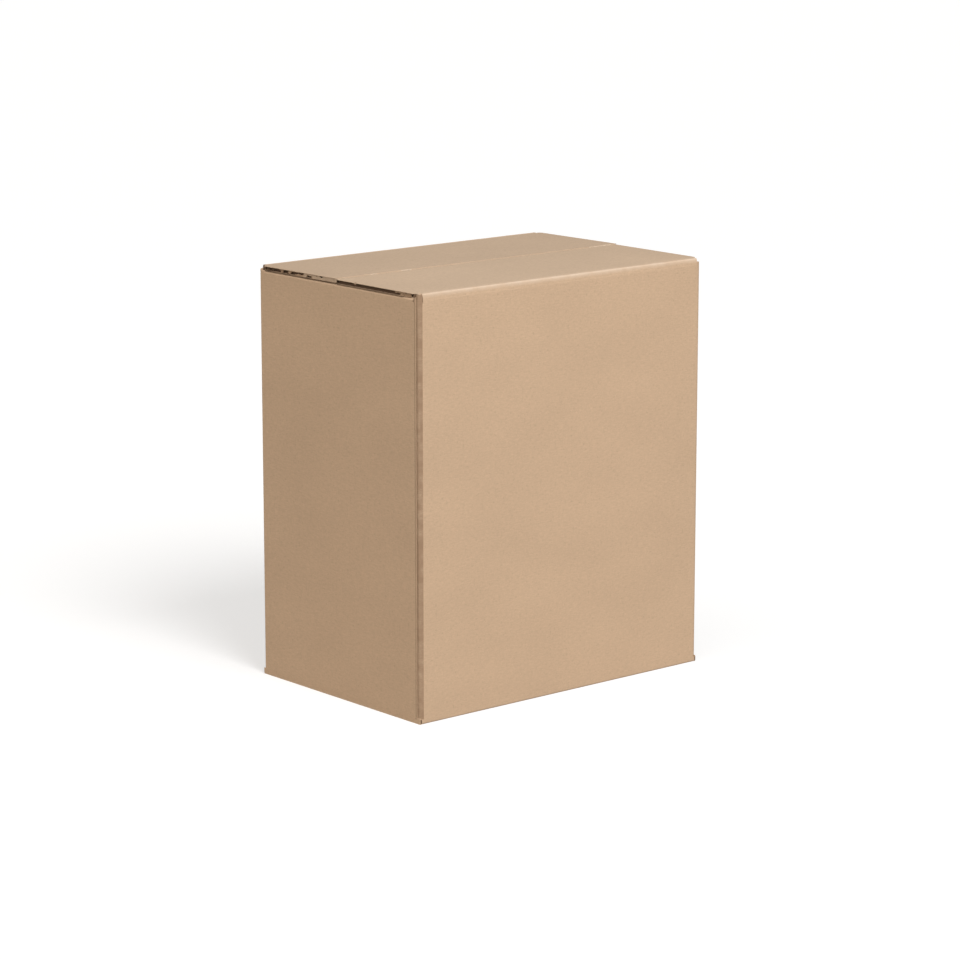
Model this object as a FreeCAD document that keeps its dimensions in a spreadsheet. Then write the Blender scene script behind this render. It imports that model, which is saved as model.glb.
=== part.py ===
"""Beer bottle carton: a slotted carton of corrugated board for six half-litre bottles.

The carton is one folded and glued sheet. Its two outer top flaps turn on their folds, and
a partition of three slotted boards stands inside. The frame is in millimetres: the origin
is on the floor under the middle, +X runs along the long panels, +Y to the rear, +Z up.
"""

import FreeCAD, Part
import math
import os
from typing import NamedTuple

import Sketcher

SIZES = (
    ("Length", 222.0, "outside, along the long panels"),
    ("Width", 151.0, "outside, along the end panels"),
    ("Height", 253.0, "outside, over the closed flaps"),
    ("Board", 3.0, "thickness of the corrugated board"),
    ("Liner", 0.4, "thickness of each flat liner"),
    ("Medium", 0.3, "thickness of the fluted sheet at its crests"),
    ("Pitch", 6.5, "wanted distance between flutes"),
    ("CrestRise", 0.28, "height of the rounded crest of a flute"),
    ("CrestShare", 0.146, "half width of that crest, as a share of the pitch"),
    ("FootShare", 0.377, "half width of a channel at the liner, as a share of the pitch"),
    ("Crush", 6.0, "board pressed flat beside a fold, where the channels end"),
    ("FoldRadius", 4.5, "outer radius of the outer top flaps' folds"),
    ("EndRadius", 1.2, "the same for the inner top flaps' folds"),
    ("BaseRadius", 1.0, "outer radius of the folds at the base"),
    ("CornerRadius", 3.0, "outer radius of the upright folds"),
    ("Seam", 0.6, "gap between two flaps that meet"),
    ("FlapSetback", 1.0, "from an end panel's face to the sides of the outer top flaps"),
    ("CornerCut", 2.5, "further setback of those sides at their fold"),
    ("CornerRun", 5.5, "length of that slanted cut along a side"),
    ("BaseSetback", 0.4, "the same for the outer base flaps"),
    ("SlotWidth", 2.5, "from a long panel's inner face to the side of an inner flap"),
    ("SlotDrop", 0.6, "depth of the corner slots below the folds of the outer top flaps"),
    ("FlapClearance", 0.1, "between the outer and inner top flaps"),
    ("RearSpring", 0.4, "degrees that the rear outer flap stays open of itself"),
    ("HingeGap", 0.2, "between panel and flap at the inside of a fold"),
    ("HingeAngle", 1.25, "degrees from the mitre to the panel or flap, at the outer curve"),
    ("TabReach", 35.0, "glue tab, from the end panel's face to its free edge"),
    ("TabTaper", 8.0, "drop of the tab's slanted ends"),
    ("TabGap", 1.0, "between the tab's ends and the inner flaps"),
    ("TabRadius", 1.5, "outer radius of the fold into the tab"),
    ("EdgeSetback", 1.0, "from an end panel's face to the front panel's cut edge"),
    ("EdgeCrush", 1.6, "depth of the crushed curve along that edge"),
    ("EdgeRun", 2.6, "width of the same curve"),
    ("EdgeRadius", 8.0, "radius of the same curve"),
    ("Sheet", 1.6, "thickness of the partition's solid board"),
    ("SheetRise", 190.0, "height of the partition"),
    ("SheetPlay", 1.0, "between the partition and the panels"),
    ("SheetCorner", 6.0, "radius of the partition's upper corners"),
    ("CrossPlay", 0.4, "spare width of the partition's slots"),
    ("CrossLead", 2.0, "flare of those slots at their mouths"),
)

END = "Sizes.Length / 2"
SIDE = "Sizes.Width / 2"
TOP = "Sizes.Height"
BOARD = "Sizes.Board"
FOLD = "Sizes.FoldRadius"
HALF_SEAM = "Sizes.Seam / 2"
INNER_TOP = f"({TOP} - {BOARD} - Sizes.FlapClearance)"
INNER_REACH = f"({END} - {SIDE} + {HALF_SEAM})"
SLOT_FLOOR = f"(min({TOP} - {FOLD}; {INNER_TOP}) - Sizes.SlotDrop)"
FLAP_SPAN = "(Sizes.Length - 2 * Sizes.FlapSetback)"
INNER_SPAN = f"(Sizes.Width - 2 * ({BOARD} + Sizes.SlotWidth))"
SHEET_FLOOR = f"2 * {BOARD}"
SHEET_TOP = f"({SHEET_FLOOR} + Sizes.SheetRise)"
SHEET_MIDDLE = f"({SHEET_FLOOR} + Sizes.SheetRise / 2)"
CELL = f"((Sizes.Length - 2 * {BOARD}) / 3)"


class Corner(NamedTuple):
    """A corner of an outline, given as expressions, and the edge that leaves it."""

    across: str
    up: str
    radius: str = ""
    hollow: bool = False


def make_sheet(doc):
    """Write the driving sizes into the document's spreadsheet."""
    sheet = doc.addObject("Spreadsheet::Sheet", "Sizes")
    for row, (alias, value, note) in enumerate(SIZES, start=1):
        sheet.set(f"A{row}", alias)
        sheet.set(f"B{row}", str(value))
        sheet.set(f"C{row}", note)
        sheet.setAlias(f"B{row}", alias)
    doc.recompute()


def make_body(doc, label):
    """Add an empty body for one piece."""
    body = doc.addObject("PartDesign::Body", label)
    body.Label = label
    return body


def origin_feature(body, role):
    """Find one of the body's origin planes or axes."""
    return next(item for item in body.Origin.OriginFeatures if item.Role == role)


def make_sketch(body, name, plane, offset=""):
    """Lay a sketch on one of the body's origin planes, moved along its normal by offset."""
    sketch = body.newObject("Sketcher::SketchObject", name)
    sketch.AttachmentSupport = [(origin_feature(body, plane), "")]
    sketch.MapMode = "FlatFace"
    if offset:
        sketch.setExpression("AttachmentOffset.Base.z", offset)
    return sketch


def arc_between(start, end, radius, turns_left):
    """Make the shorter arc from start to end, which turns left or right on its way."""
    chord = end - start
    rise = math.sqrt(radius**2 - (chord.Length / 2) ** 2)
    side = FreeCAD.Vector(-chord.y, chord.x, 0).normalize()
    centre = (start + end) / 2 + side * (rise if turns_left else -rise)
    first, last = (start, end) if turns_left else (end, start)
    angles = [math.atan2(point.y - centre.y, point.x - centre.x) for point in (first, last)]
    circle = Part.Circle(centre, FreeCAD.Vector(0, 0, 1), radius)
    return Part.ArcOfCircle(circle, *angles)


def bind_distance(sketch, kind, edge, vertex, expression):
    """Hold a vertex at a signed distance from the sketch's origin."""
    value = sketch.evalExpression(expression)
    if value < 0:
        rule = Sketcher.Constraint(kind, edge, vertex, -1, 1, -value)
        expression = f"-({expression})"
    else:
        rule = Sketcher.Constraint(kind, -1, 1, edge, vertex, value)
    index = sketch.addConstraint(rule)
    sketch.setExpression(f"Constraints[{index}]", expression)


def draw_outline(sketch, corners, mirrored=False):
    """Draw a closed outline, anticlockwise as written, and bind it to the sizes."""
    if mirrored:
        corners = [corner._replace(across=f"-({corner.across})") for corner in corners]
    places = []
    for corner in corners:
        across, up = (sketch.evalExpression(text) for text in (corner.across, corner.up))
        places.append(FreeCAD.Vector(across, up, 0))
    edges = []
    for corner, start, end in zip(corners, places, places[1:] + places[:1]):
        if not corner.radius:
            edge = sketch.addGeometry(Part.LineSegment(start, end), False)
            edges.append((edge, 1, 2))
            continue
        turns_left = corner.hollow == mirrored
        radius = sketch.evalExpression(corner.radius)
        edge = sketch.addGeometry(arc_between(start, end, radius, turns_left), False)
        edges.append((edge, 1, 2) if turns_left else (edge, 2, 1))
    for here, ahead in zip(edges, edges[1:] + edges[:1]):
        sketch.addConstraint(Sketcher.Constraint("Coincident", here[0], here[2], ahead[0], ahead[1]))
    for corner, (edge, vertex, _) in zip(corners, edges):
        bind_distance(sketch, "DistanceX", edge, vertex, corner.across)
        bind_distance(sketch, "DistanceY", edge, vertex, corner.up)
        if corner.radius:
            radius = sketch.evalExpression(corner.radius)
            index = sketch.addConstraint(Sketcher.Constraint("Radius", edge, radius))
            sketch.setExpression(f"Constraints[{index}]", corner.radius)


def draw_pair(sketch, corners):
    """Draw an outline and its mirror image about the sketch's upright axis."""
    draw_outline(sketch, corners)
    draw_outline(sketch, corners, mirrored=True)


def extrude(body, kind, name, sketch, length, side="Symmetric", backwards=False):
    """Add a Pad or Pocket of the sketch to the body."""
    feature = body.newObject(f"PartDesign::{kind}", name)
    feature.Profile = sketch
    feature.SideType = side
    feature.Reversed = backwards
    feature.setExpression("Length", length)
    body.Tip = feature
    body.Document.recompute()
    return feature


def repeat(body, name, feature, axis, spacing, count):
    """Repeat a feature along one of the body's origin axes."""
    pattern = body.newObject("PartDesign::LinearPattern", name)
    pattern.Originals = [feature]
    pattern.Direction = (origin_feature(body, axis), [""])
    pattern.Mode = "Spacing"
    pattern.setExpression("Offset", spacing)
    pattern.setExpression("Occurrences", count)
    body.Tip = pattern
    body.Document.recompute()


def box_outline(left, right, low, high):
    """List the corners of an upright rectangle."""
    return [Corner(left, low), Corner(right, low), Corner(right, high), Corner(left, high)]


def cut_flutes(body, plane, axis, span, underside, length, side, backwards=False):
    """Hollow a flap as its fluted sheet does, with channels above and below that sheet.

    The flutes fill the span evenly. The flap's two cut sides lie on the middle of an
    upper channel, so each shows an open flute.
    """
    count = f"round({span} / Sizes.Pitch)"
    pitch = f"({span} / {count})"
    crest, foot = f"{pitch} * Sizes.CrestShare", f"{pitch} * Sizes.FootShare"
    radius = f"(({crest})^2 + Sizes.CrestRise^2) / (2 * Sizes.CrestRise)"
    floor, ceiling = f"{underside} + Sizes.Liner", f"{underside} + {BOARD} - Sizes.Liner"
    upper, lower = f"-{span} / 2", f"-{span} / 2 + {pitch} / 2"
    shoulder = f"{floor} + Sizes.Medium + Sizes.CrestRise"
    above = [
        Corner(f"{upper} - {foot}", ceiling),
        Corner(f"{upper} - {crest}", shoulder, radius),
        Corner(f"{upper} + {crest}", shoulder),
        Corner(f"{upper} + {foot}", ceiling),
    ]
    shoulder = f"{ceiling} - Sizes.Medium - Sizes.CrestRise"
    below = [
        Corner(f"{lower} - {foot}", floor),
        Corner(f"{lower} + {foot}", floor),
        Corner(f"{lower} + {crest}", shoulder, radius),
        Corner(f"{lower} - {crest}", shoulder),
    ]
    for name, corners, total in (("Upper", above, f"{count} + 1"), ("Lower", below, count)):
        sketch = make_sketch(body, f"{name}Channel", plane)
        draw_outline(sketch, corners)
        channel = extrude(body, "Pocket", f"{name}Flute", sketch, length, side, backwards)
        repeat(body, f"{name}Flutes", channel, axis, pitch, total)


def fold_point(toward_flap):
    """Give the place on a top fold's outer curve where the panel or the flap ends."""
    angle = f"(45 {'+' if toward_flap else '-'} Sizes.HingeAngle)"
    across = f"-{SIDE} + {FOLD} * (1 - cos({angle}))"
    up = f"{TOP} - {FOLD} * (1 - sin({angle}))"
    return across, up


def add_sleeve(body):
    """Add the four upright panels, up to the floor of the corner slots."""
    sketch = make_sketch(body, "SleevePlan", "XY_Plane", BOARD)
    turn = "Sizes.CornerRadius"
    outside = [
        Corner(f"-{END}", f"-{SIDE}"),
        Corner(f"{END} - {turn}", f"-{SIDE}", turn),
        Corner(END, f"-{SIDE} + {turn}"),
        Corner(END, f"{SIDE} - {turn}", turn),
        Corner(f"{END} - {turn}", SIDE),
        Corner(f"-{END} + {turn}", SIDE, turn),
        Corner(f"-{END}", f"{SIDE} - {turn}"),
    ]
    inner_end, inner_side = f"{END} - {BOARD}", f"{SIDE} - {BOARD}"
    inside = box_outline(f"-({inner_end})", inner_end, f"-({inner_side})", inner_side)
    draw_outline(sketch, outside)
    draw_outline(sketch, inside)
    extrude(body, "Pad", "Sleeve", sketch, f"{SLOT_FLOOR} - {BOARD}", "One side")


def add_end_sheets(body):
    """Add the end panels' middles with the inner flaps that fold from them."""
    sketch = make_sketch(body, "EndSection", "XZ_Plane")
    turn, base = "Sizes.EndRadius", "Sizes.BaseRadius"
    left = [
        Corner(f"-{INNER_REACH}", BOARD),
        Corner(f"-{INNER_REACH}", f"2 * {BOARD}"),
        Corner(f"-{END} + {BOARD}", f"2 * {BOARD}"),
        Corner(f"-{END} + {BOARD}", f"{INNER_TOP} - {BOARD}"),
        Corner(f"-{INNER_REACH}", f"{INNER_TOP} - {BOARD}"),
        Corner(f"-{INNER_REACH}", INNER_TOP),
        Corner(f"-{END} + {turn}", INNER_TOP, turn),
        Corner(f"-{END}", f"{INNER_TOP} - {turn}"),
        Corner(f"-{END}", f"{BOARD} + {base}", base),
        Corner(f"-{END} + {base}", BOARD),
    ]
    draw_pair(sketch, left)
    extrude(body, "Pad", "EndSheets", sketch, INNER_SPAN)


def add_long_tops(body):
    """Add the tops of the long panels, cut on the mitre of their folds."""
    sketch = make_sketch(body, "TopSection", "YZ_Plane")
    front = [
        Corner(f"-{SIDE}", SLOT_FLOOR),
        Corner(f"-{SIDE} + {BOARD}", SLOT_FLOOR),
        Corner(f"-{SIDE} + {BOARD}", f"{TOP} - {BOARD} - Sizes.HingeGap"),
        Corner(*fold_point(toward_flap=False), FOLD),
        Corner(f"-{SIDE}", f"{TOP} - {FOLD}"),
    ]
    draw_pair(sketch, front)
    extrude(body, "Pad", "LongTops", sketch, f"{FLAP_SPAN} - 2 * Sizes.CornerCut")


def add_base_flaps(body):
    """Add the outer base flaps, which meet under the middle of the carton."""
    sketch = make_sketch(body, "BaseSection", "YZ_Plane")
    base = "Sizes.BaseRadius"
    front = [
        Corner(f"-{SIDE} + {base}", "0"),
        Corner(f"-{HALF_SEAM}", "0"),
        Corner(f"-{HALF_SEAM}", BOARD),
        Corner(f"-{SIDE}", BOARD),
        Corner(f"-{SIDE}", base, base),
    ]
    draw_pair(sketch, front)
    extrude(body, "Pad", "BaseFlaps", sketch, "Sizes.Length - 2 * Sizes.BaseSetback")


def add_glue_tab(body):
    """Add the tab that the left end panel turns inside the front panel."""
    sketch = make_sketch(body, "TabOutline", "XZ_Plane", f"{SIDE} - {BOARD}")
    root, tip = f"-{END} + {BOARD}", f"-{END} + Sizes.TabReach"
    low, high = f"2 * {BOARD} + Sizes.TabGap", f"{INNER_TOP} - {BOARD} - Sizes.TabGap"
    outline = [
        Corner(root, low),
        Corner(tip, f"{low} + Sizes.TabTaper"),
        Corner(tip, f"{high} - Sizes.TabTaper"),
        Corner(root, high),
    ]
    draw_outline(sketch, outline)
    extrude(body, "Pad", "GlueTab", sketch, BOARD, "One side", backwards=True)


def cut_glue_joint(body):
    """Cut the upright groove between the tab's fold and the front panel's crushed edge."""
    sketch = make_sketch(body, "JointPlan", "XY_Plane", BOARD)
    edge = f"-{END} + Sizes.EdgeSetback"
    crush_end = f"{edge} + Sizes.EdgeRun"
    tab = "Sizes.TabRadius"
    fold_start = f"-{SIDE} + {BOARD} + {tab}"
    meeting = f"{fold_start} - sqrt({tab}^2 - ({tab} - Sizes.EdgeSetback)^2)"
    outer_end, outer_side = f"-{END} - {BOARD}", f"-{SIDE} - {BOARD}"
    groove = [
        Corner(outer_end, outer_side),
        Corner(crush_end, outer_side),
        Corner(crush_end, f"-{SIDE}", "Sizes.EdgeRadius", hollow=True),
        Corner(edge, f"-{SIDE} + Sizes.EdgeCrush"),
        Corner(edge, meeting, tab, hollow=True),
        Corner(f"-{END}", fold_start),
        Corner(outer_end, fold_start),
    ]
    draw_outline(sketch, groove)
    extrude(body, "Pocket", "GlueJoint", sketch, TOP, "One side", backwards=True)


def make_carton(doc):
    """Build the folded sheet: panels, inner top flaps, base flaps and glue tab."""
    body = make_body(doc, "carton")
    add_sleeve(body)
    add_end_sheets(body)
    add_long_tops(body)
    add_base_flaps(body)
    add_glue_tab(body)
    cut_glue_joint(body)
    channel_span = "Sizes.Length - 2 * Sizes.Crush"
    underside = f"{INNER_TOP} - {BOARD}"
    cut_flutes(body, "YZ_Plane", "Y_Axis", INNER_SPAN, underside, channel_span, "Symmetric")
    return body


def make_top_flap(doc, label, rear):
    """Build an outer top flap, from its mitred fold to the seam."""
    body = make_body(doc, label)
    sketch = make_sketch(body, "FlapSection", "YZ_Plane")
    section = [
        Corner(*fold_point(toward_flap=True)),
        Corner(f"-{SIDE} + {BOARD} + Sizes.HingeGap", f"{TOP} - {BOARD}"),
        Corner(f"-{HALF_SEAM}", f"{TOP} - {BOARD}"),
        Corner(f"-{HALF_SEAM}", TOP),
        Corner(f"-{SIDE} + {FOLD}", TOP, FOLD),
    ]
    draw_outline(sketch, section, mirrored=rear)
    extrude(body, "Pad", "Flap", sketch, FLAP_SPAN)
    cut_flap_corners(body, rear)
    depth = f"{SIDE} - Sizes.Crush"
    underside = f"{TOP} - {BOARD}"
    cut_flutes(body, "XZ_Plane", "X_Axis", FLAP_SPAN, underside, depth, "One side", not rear)
    if rear:
        spring_open(body, "Sizes.RearSpring * 1 deg")
    return body


def cut_flap_corners(body, rear):
    """Cut the slanted corners beside the fold of an outer top flap."""
    sketch = make_sketch(body, "CornerPlan", "XY_Plane", f"{TOP} - {BOARD}")
    reach = f"{FLAP_SPAN} / 2"
    fold = SIDE if rear else f"-{SIDE}"
    run_end = f"{fold} {'-' if rear else '+'} Sizes.CornerRun"
    right = [Corner(f"{reach} - Sizes.CornerCut", fold), Corner(reach, fold), Corner(reach, run_end)]
    draw_pair(sketch, right)
    extrude(body, "Pocket", "Corners", sketch, BOARD, "One side", backwards=True)


def spring_open(body, angle):
    """Turn a rear flap about the outer corner of its fold, so that its free edge rises."""
    body.Placement.Rotation.Axis = FreeCAD.Vector(1, 0, 0)
    across = f"{SIDE} * cos({angle}) + {TOP} * sin({angle})"
    up = f"{TOP} * cos({angle}) - {SIDE} * sin({angle})"
    body.setExpression("Placement.Rotation.Angle", f"-1 * {angle}")
    body.setExpression("Placement.Base.y", f"{SIDE} - ({across})")
    body.setExpression("Placement.Base.z", f"{TOP} - ({up})")


def slot_corners(middle, mouth, floor):
    """List the corners of a partition slot from left to right, with its flared mouth."""
    half = "(Sizes.Sheet + Sizes.CrossPlay) / 2"
    lead = f"({half} + Sizes.CrossLead)"
    upward = mouth == SHEET_TOP
    throat = f"{mouth} {'-' if upward else '+'} Sizes.CrossLead"
    return [
        Corner(f"{middle} - {lead}", mouth),
        Corner(f"{middle} - {half}", throat),
        Corner(f"{middle} - {half}", floor),
        Corner(f"{middle} + {half}", floor),
        Corner(f"{middle} + {half}", throat),
        Corner(f"{middle} + {lead}", mouth),
    ]


def make_long_divider(doc):
    """Build the partition's long board, with two slots that open at its top."""
    body = make_body(doc, "long_divider")
    sketch = make_sketch(body, "BoardOutline", "XZ_Plane")
    reach = f"({END} - {BOARD} - Sizes.SheetPlay)"
    turn = "Sizes.SheetCorner"
    floor = f"{SHEET_MIDDLE} - Sizes.CrossPlay / 2"
    right_slot = slot_corners(f"{CELL} / 2", SHEET_TOP, floor)
    left_slot = slot_corners(f"-{CELL} / 2", SHEET_TOP, floor)
    outline = [
        Corner(f"-{reach}", SHEET_FLOOR),
        Corner(reach, SHEET_FLOOR),
        Corner(reach, f"{SHEET_TOP} - {turn}", turn),
        Corner(f"{reach} - {turn}", SHEET_TOP),
        *reversed(right_slot),
        *reversed(left_slot),
        Corner(f"-{reach} + {turn}", SHEET_TOP, turn),
        Corner(f"-{reach}", f"{SHEET_TOP} - {turn}"),
    ]
    draw_outline(sketch, outline)
    extrude(body, "Pad", "Board", sketch, "Sizes.Sheet")
    return body


def make_cross_divider(doc, label, side):
    """Build one of the partition's short boards, with one slot that opens at its foot."""
    body = make_body(doc, label)
    sketch = make_sketch(body, "BoardOutline", "YZ_Plane", f"{side} * {CELL} / 2")
    reach = f"({SIDE} - {BOARD} - Sizes.SheetPlay)"
    turn = "Sizes.SheetCorner"
    outline = [
        Corner(f"-{reach}", SHEET_FLOOR),
        *slot_corners("0", SHEET_FLOOR, f"{SHEET_MIDDLE} + Sizes.CrossPlay / 2"),
        Corner(reach, SHEET_FLOOR),
        Corner(reach, f"{SHEET_TOP} - {turn}", turn),
        Corner(f"{reach} - {turn}", SHEET_TOP),
        Corner(f"-{reach} + {turn}", SHEET_TOP, turn),
        Corner(f"-{reach}", f"{SHEET_TOP} - {turn}"),
    ]
    draw_outline(sketch, outline)
    extrude(body, "Pad", "Board", sketch, "Sizes.Sheet")
    return body


def check(doc, bodies):
    """Stop if an object failed to build or a piece isn't one valid solid."""
    for item in doc.Objects:
        if "Invalid" in item.State or "Error" in item.State:
            raise RuntimeError(f"{item.Name} of {item.getParent()} failed: {item.State}")
    for body in bodies:
        shape = body.Shape
        if shape.isNull() or not shape.isValid() or len(shape.Solids) != 1:
            raise RuntimeError(f"{body.Label} isn't one valid solid")


def main():
    """Build every piece and write each one to its own STEP file."""
    doc = FreeCAD.newDocument("BottleCarton")
    make_sheet(doc)
    bodies = [
        make_carton(doc),
        make_top_flap(doc, "front_top_flap", rear=False),
        make_top_flap(doc, "rear_top_flap", rear=True),
        make_long_divider(doc),
        make_cross_divider(doc, "cross_divider_left", side=-1),
        make_cross_divider(doc, "cross_divider_right", side=1),
    ]
    doc.recompute()
    check(doc, bodies)
    os.makedirs("parts", exist_ok=True)
    for body in bodies:
        body.Shape.exportStep(f"parts/{body.Label}.step")
        box = body.Shape.BoundBox
        print(f"{body.Label}: {body.Shape.Volume / 1000:.1f} cm3, {len(body.Shape.Faces)} faces")
        print(f"  from {box.XMin:.2f} {box.YMin:.2f} {box.ZMin:.2f}")
        print(f"  to {box.XMax:.2f} {box.YMax:.2f} {box.ZMax:.2f}")


main()
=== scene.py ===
"""The looks of the beer bottle carton: its board, folds and cut edges, and the studio.

Lengths are in metres. The frame's origin is on the floor under the middle of the carton,
+X runs along the long panels, +Y to the rear and +Z up.
"""

import logging
import math
from collections.abc import Callable
from dataclasses import dataclass
from enum import Enum

import bmesh
import bpy
from mathutils import Matrix, Vector, noise


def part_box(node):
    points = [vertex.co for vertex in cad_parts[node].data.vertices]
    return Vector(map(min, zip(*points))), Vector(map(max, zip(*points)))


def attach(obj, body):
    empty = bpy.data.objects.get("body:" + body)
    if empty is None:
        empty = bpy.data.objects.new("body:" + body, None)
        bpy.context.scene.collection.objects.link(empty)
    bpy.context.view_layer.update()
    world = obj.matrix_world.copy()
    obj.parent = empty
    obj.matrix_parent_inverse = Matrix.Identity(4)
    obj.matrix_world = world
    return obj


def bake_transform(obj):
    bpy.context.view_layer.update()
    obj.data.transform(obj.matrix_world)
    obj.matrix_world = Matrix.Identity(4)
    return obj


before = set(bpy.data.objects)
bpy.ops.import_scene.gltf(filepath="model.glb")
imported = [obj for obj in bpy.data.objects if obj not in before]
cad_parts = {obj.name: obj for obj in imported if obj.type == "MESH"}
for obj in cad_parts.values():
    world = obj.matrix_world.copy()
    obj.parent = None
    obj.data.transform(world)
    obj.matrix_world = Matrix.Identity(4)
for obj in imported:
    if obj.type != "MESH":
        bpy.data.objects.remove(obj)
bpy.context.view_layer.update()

MM = 0.001
PARALLEL = 0.999  # the cosine from which two directions count as parallel

log = logging.getLogger("carton")

Colour = tuple[float, float, float]
Point = tuple[float, float, float]
Piece = bpy.types.Object
Look = bpy.types.Material
Socket = bpy.types.NodeSocket

X_AXIS, Y_AXIS, Z_AXIS = Vector((1.0, 0.0, 0.0)), Vector((0.0, 1.0, 0.0)), Vector((0.0, 0.0, 1.0))
QUARTER_TURN = math.pi / 2
WHITE: Colour = (1.0, 1.0, 1.0)


class Stand(Enum):
    """Which face of the carton a rectangle starts in line with, as its turn about X, Y and Z."""

    FLAT = (0.0, 0.0, 0.0)
    LONG = (QUARTER_TURN, 0.0, 0.0)
    END = (QUARTER_TURN, 0.0, QUARTER_TURN)


class Half(Enum):
    """A half of the carton, whose name goes into the names of its pieces."""

    def __str__(self) -> str:
        """Give the name in small letters."""
        return self.name.lower()


class Side(Half):
    """Which long panel an outer top flap hangs on, as the sign of its Y."""

    FRONT = -1
    REAR = 1


class End(Half):
    """Which end of the carton a piece is at, as the sign of its X."""

    LEFT = -1
    RIGHT = 1


class Grain(Enum):
    """How the paper's fibres lie in a piece, as their number to the metre along X, Y and Z."""

    PANEL = (260.0, 260.0, 1500.0)
    FLAP = (260.0, 1500.0, 1500.0)
    LOOSE = (900.0, 900.0, 900.0)


class Layers(Enum):
    """What kind of element an edit acts on."""

    VERTEX = "VERT"
    EDGE = "EDGE"
    FACE = "FACE"


@dataclass(frozen=True)
class Measures:
    """The carton's main sizes, read from the frame."""

    length: float
    width: float
    height: float
    board: float
    flap_side: float
    fold_end: float
    fold_reach: float
    fold: float
    seam: float
    spring: float

    @classmethod
    def from_frame(cls, fold: float, corner_cut: float, setback: float) -> "Measures":
        """Read the sizes from the boxes of the CAD nodes.

        Args:
            fold: the outer radius of the outer top flaps' folds.
            corner_cut: how far the ends of those folds stand back from the flaps' sides.
            setback: how far the liner over them stands back from the end panels.

        Returns:
            The sizes in metres, and the rear flap's spring in radians.
        """
        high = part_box("carton")[1]
        front_low, front_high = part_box("front_top_flap")
        rear_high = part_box("rear_top_flap")[1]
        return cls(
            length=2 * high.x,
            width=2 * high.y,
            height=front_high.z,
            board=front_high.z - front_low.z,
            flap_side=front_high.x,
            fold_end=front_high.x - corner_cut,
            fold_reach=high.x - setback,
            fold=fold,
            seam=-2 * front_high.y,
            spring=math.asin((rear_high.z - front_high.z) / high.y),
        )


# ---- modelling helpers


def deselect() -> None:
    """Deselect every object, in object mode."""
    if bpy.context.object is not None and bpy.context.object.mode != "OBJECT":
        bpy.ops.object.mode_set(mode="OBJECT")
    bpy.ops.object.select_all(action="DESELECT")


def start_plane(name: str, size: tuple[float, float], place: Point, turn: Point) -> Piece:
    """Add a rectangle to start a piece from, and leave it in edit mode.

    Args:
        name: the piece's name.
        size: its length along its own X and its own Y.
        place: its middle.
        turn: its rotation about X, Y and Z, in radians.

    Returns:
        The new object, in edit mode, with everything deselected.
    """
    deselect()
    bpy.ops.mesh.primitive_plane_add(size=1.0, location=place, rotation=turn)
    piece = bpy.context.object
    piece.name = name
    piece.data.name = name
    piece.scale = (size[0], size[1], 1.0)
    bpy.ops.object.transform_apply(location=True, rotation=True, scale=True)
    bpy.ops.object.mode_set(mode="EDIT")
    bpy.ops.mesh.select_all(action="DESELECT")
    return piece


def choose(piece: Piece, layer: Layers, test: Callable[[Vector], bool]) -> None:
    """Select, in edit mode, the elements whose corners all pass a test.

    Args:
        piece: the object in edit mode.
        layer: vertices, edges or faces.
        test: tells if a corner's place counts.
    """
    bpy.ops.mesh.select_mode(type=layer.value)
    bpy.ops.mesh.select_all(action="DESELECT")
    mesh = bmesh.from_edit_mesh(piece.data)
    if layer is Layers.VERTEX:
        found = [vert for vert in mesh.verts if test(vert.co)]
    else:
        elements = mesh.edges if layer is Layers.EDGE else mesh.faces
        found = [item for item in elements if all(test(vert.co) for vert in item.verts)]
    for item in found:
        item.select_set(True)
    mesh.select_flush_mode()
    bmesh.update_edit_mesh(piece.data)


def cut_edges_along(piece: Piece, axis: Vector, cuts: int) -> None:
    """Cut, in edit mode, the edges that run along an axis into equal lengths.

    Args:
        piece: the object in edit mode.
        axis: the direction, of length 1.
        cuts: how many cuts each edge gets.
    """
    bpy.ops.mesh.select_mode(type="EDGE")
    bpy.ops.mesh.select_all(action="DESELECT")
    mesh = bmesh.from_edit_mesh(piece.data)
    for edge in mesh.edges:
        run = (edge.verts[1].co - edge.verts[0].co).normalized()
        edge.select_set(abs(run.dot(axis)) > PARALLEL)
    bmesh.update_edit_mesh(piece.data)
    bpy.ops.mesh.subdivide(number_cuts=cuts)


def extrude_by(step: Vector) -> None:
    """Extrude what is selected and move the new part by a step."""
    bpy.ops.mesh.extrude_region_move(TRANSFORM_OT_translate={"value": tuple(step)})


def roughen(piece: Piece, test: Callable[[Vector], bool], offset: float, seed: int) -> None:
    """Move, in edit mode, each vertex that passes a test by a random step of up to an offset."""
    choose(piece, Layers.VERTEX, test)
    bpy.ops.transform.vertex_random(offset=offset, seed=seed)


def apply_modifier(piece: Piece, kind: str, **settings: object) -> None:
    """Give a piece a modifier and apply it.

    Args:
        piece: the object, in object mode.
        kind: Blender's name for the modifier's type.
        **settings: the modifier's own settings.
    """
    modifier = piece.modifiers.new(kind.title(), kind)
    for key, value in settings.items():
        setattr(modifier, key, value)
    bpy.context.view_layer.objects.active = piece
    bpy.ops.object.modifier_apply(modifier=modifier.name)


def ripple(
    piece: Piece, name: str, size: float, strength: float, layers: int = 2, **settings: object
) -> None:
    """Move a piece's surface in or out by a cloudy texture.

    Args:
        piece: the object, in object mode.
        name: the texture's name.
        size: the size of its clouds, in metres.
        strength: how far the surface moves between its darkest and its brightest.
        layers: how many finer layers the texture has.
        **settings: the Displace modifier's own settings.
    """
    texture = bpy.data.textures.new(name, "CLOUDS")
    texture.noise_scale = size
    texture.noise_depth = layers
    apply_modifier(piece, "DISPLACE", texture=texture, strength=strength, **settings)


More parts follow.
